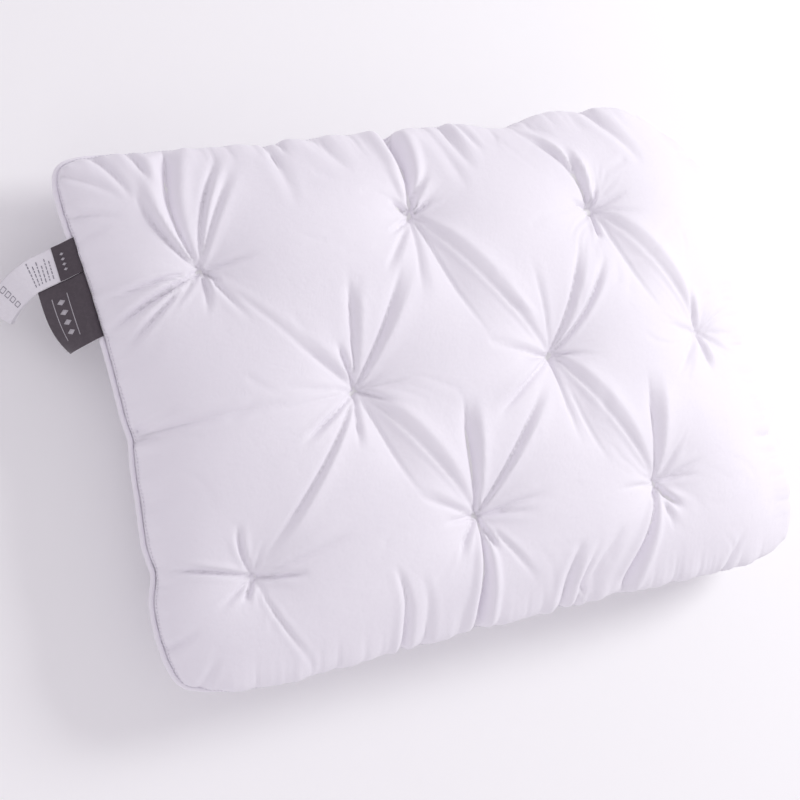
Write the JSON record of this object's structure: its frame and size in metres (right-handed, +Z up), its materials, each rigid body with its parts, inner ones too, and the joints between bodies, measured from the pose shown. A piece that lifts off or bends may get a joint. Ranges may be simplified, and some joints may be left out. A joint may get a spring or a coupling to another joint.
{
  "type": "bed pillow",
  "caption": "Soft rectangular bed pillow with pinch-pleated panels, a piped seam, an inner filling case and two labels sewn into one end seam.",
  "frame": {"origin": "middle of the flat area of the back panel that the pillow rests on", "axes": "+X along the long side, away from the labels; +Y along the short side; +Z up, out of the front panel"},
  "size_m": [0.7842, 0.5038, 0.1405],
  "materials": {
    "casing_cloth": "satin",
    "piping_cloth": "satin",
    "cotton_cord": "matte",
    "sewing_thread": "satin",
    "fibre_filling": "matte",
    "case_cloth": "matte",
    "woven_label": "satin",
    "satin_label": "satin"
  },
  "bodies": {
    "pillow": {"front_cover": "casing_cloth", "back_cover": "casing_cloth", "piping_cover": "piping_cloth", "piping_cord": "cotton_cord", "seam_thread": "sewing_thread", "closing_thread": "sewing_thread", "front_tack_threads": "sewing_thread", "back_tack_threads": "sewing_thread", "front_filling": "fibre_filling", "back_filling": "fibre_filling", "core_case_front": "case_cloth", "core_case_back": "case_cloth", "core_filling": "fibre_filling"},
    "brand_label": {"brand_label": "woven_label"},
    "care_label": {"care_label": "satin_label"}
  },
  "joints": [
    {"name": "brand_label_flap", "type": "hinge", "parent": "pillow", "child": "brand_label", "pos_m": [-0.34607, 0.147, 0.061], "axis": [-0.0934, 0.9956, 0], "range_deg": [-60, 100], "stiffness_Nm_per_rad": 0.002},
    {"name": "care_label_flap", "type": "hinge", "parent": "pillow", "child": "care_label", "pos_m": [-0.34607, 0.147, 0.061], "axis": [-0.0934, 0.9956, 0], "range_deg": [-30, 100], "stiffness_Nm_per_rad": 0.002}
  ]
}
